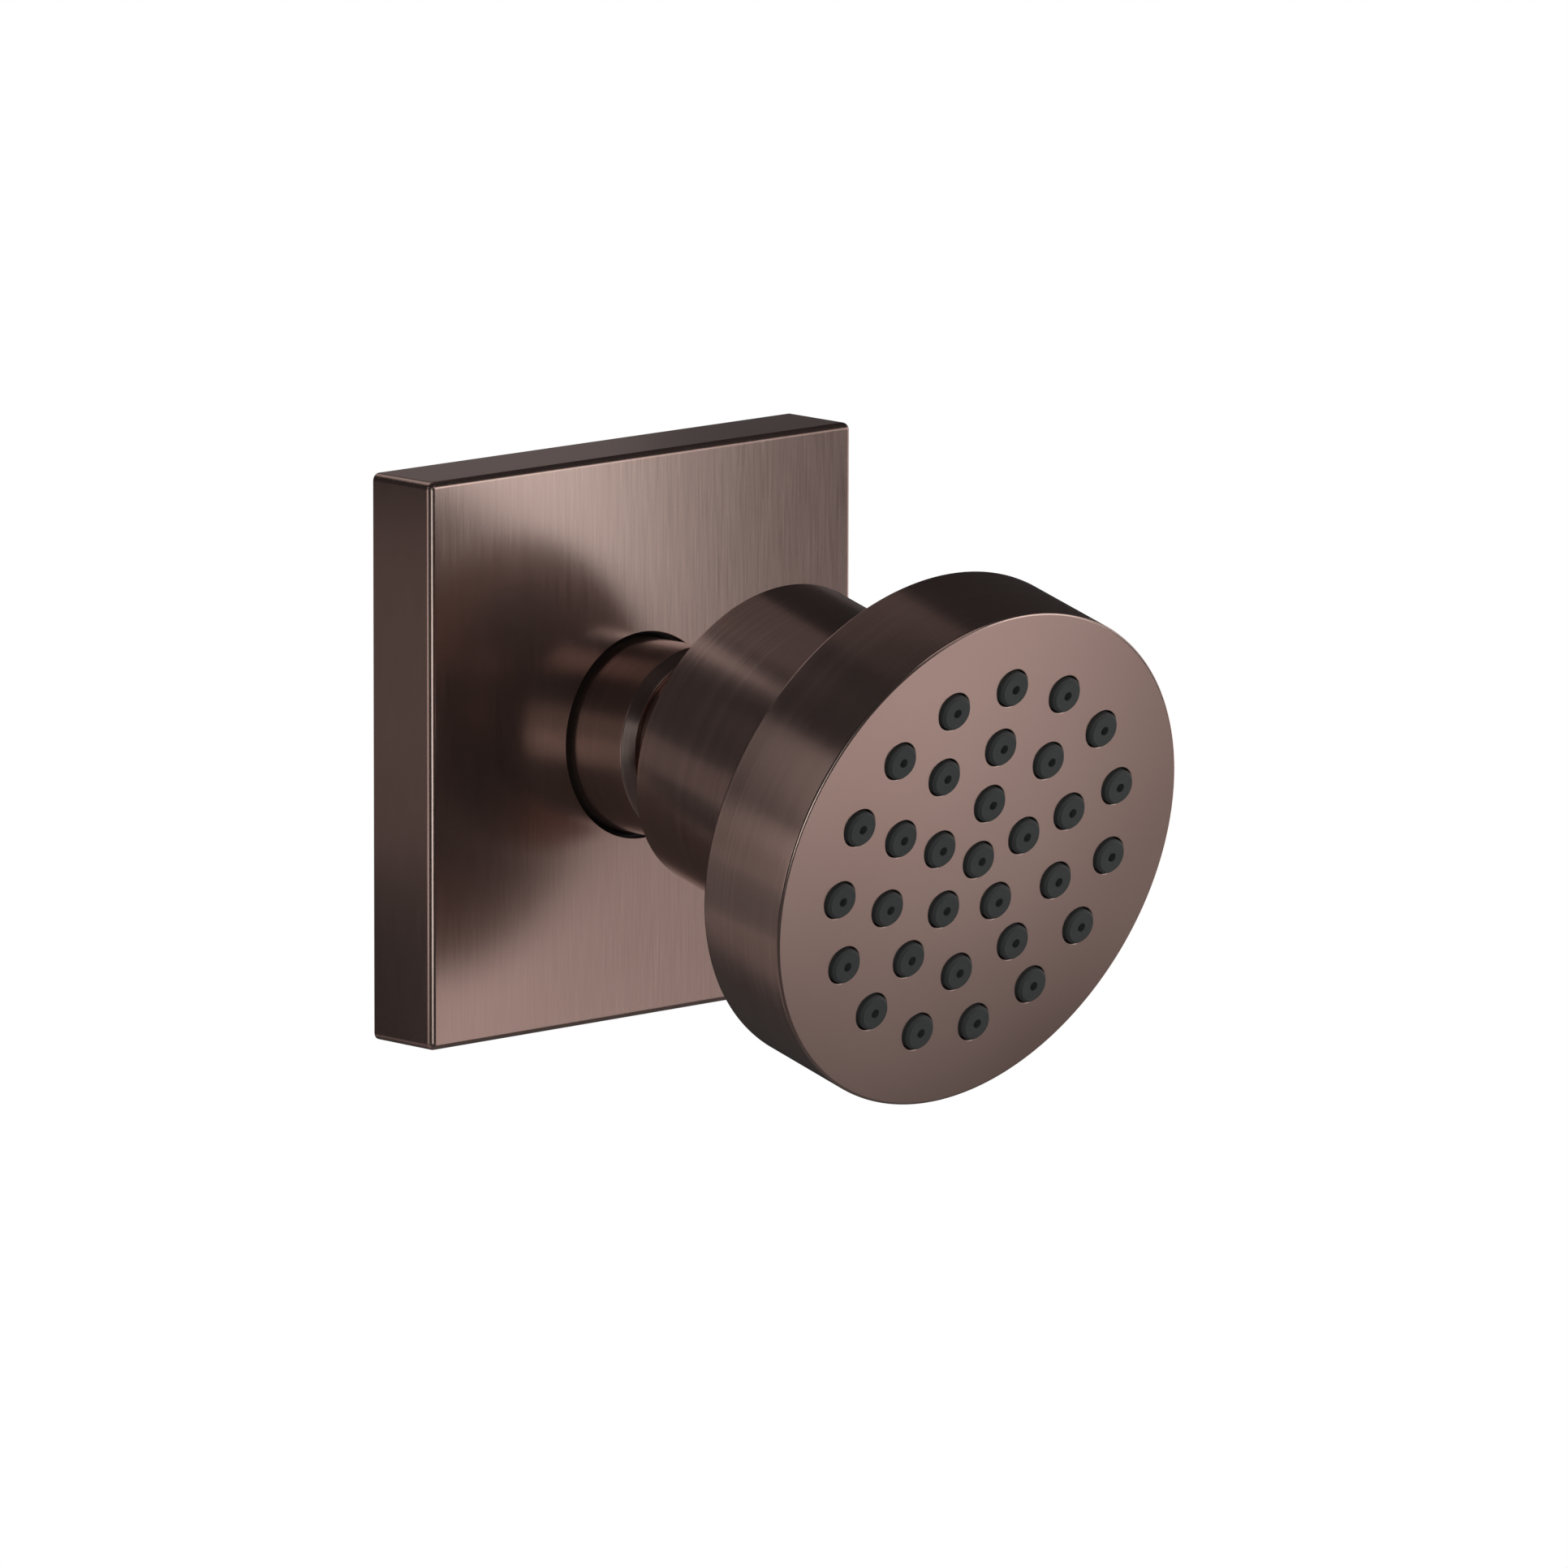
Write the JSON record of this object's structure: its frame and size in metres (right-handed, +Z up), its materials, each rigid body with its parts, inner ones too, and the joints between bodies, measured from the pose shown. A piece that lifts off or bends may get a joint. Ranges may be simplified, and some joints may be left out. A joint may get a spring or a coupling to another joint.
{
  "type": "shower body jet",
  "caption": "Wall-fixed shower jet: square plate, threaded water inlet, and a round spray head on a ball joint that tilts, turns and spins.",
  "frame": {"origin": "centre of the wall plate's back face, on the inlet thread's axis, in the plane of the finished wall", "axes": "+Y into the wall along the inlet thread, +Z up, +X to the right when facing the wall; the room is towards -Y"},
  "size_m": [0.06, 0.081, 0.0631],
  "materials": {
    "bronze": "brushed dark bronze coat over brass",
    "bare_brass": "turned, bare",
    "black_rubber": "moulded, matt",
    "nozzle_rubber": "moulded silicone, satin",
    "foam": "closed-cell foam",
    "seat_plastic": "moulded acetal",
    "tray_plastic": "moulded, satin",
    "regulator_plastic": "moulded",
    "stainless": "bright"
  },
  "bodies": {
    "inlet": {"inlet_nipple": "bare_brass", "inlet_washer": "black_rubber", "inlet_ring": "black_rubber", "strainer": "stainless", "flow_regulator": "regulator_plastic", "regulator_ring": "black_rubber", "joint_collar": "bronze", "ball_stud": "bronze", "stud_ring": "black_rubber"},
    "plate": {"wall_plate": "bronze", "wall_gasket": "foam", "plate_ring": "black_rubber"},
    "rear_seat": {"rear_ball_seat": "seat_plastic"},
    "front_seat": {"front_ball_seat": "seat_plastic", "ball_ring": "black_rubber"},
    "head": {"swivel_housing": "bronze", "seat_spring": "stainless", "seat_nut": "bare_brass", "chamber_ring": "black_rubber", "water_spreader": "tray_plastic", "spreader_screws": "stainless", "nozzle_mat": "nozzle_rubber", "spray_shell": "bronze"}
  },
  "joints": [
    {"name": "plate_slide", "type": "slide", "parent": "inlet", "child": "plate", "axis": [0, -1, 0], "range_m": [0, 0.006]},
    {"name": "head_tilt", "type": "hinge", "parent": "inlet", "child": "rear_seat", "pos_m": [0, -0.0354, 0], "axis": [-1, 0, 0], "range_deg": [0, 30]},
    {"name": "head_pan", "type": "hinge", "parent": "rear_seat", "child": "front_seat", "pos_m": [0, -0.0354, 0], "axis": [0, -0.2588, 0.9659], "range_deg": [-15, 15]},
    {"name": "head_spin", "type": "hinge", "parent": "front_seat", "child": "head", "pos_m": [0, -0.0354, 0], "axis": [0, -0.9659, -0.2588], "continuous": true}
  ]
}
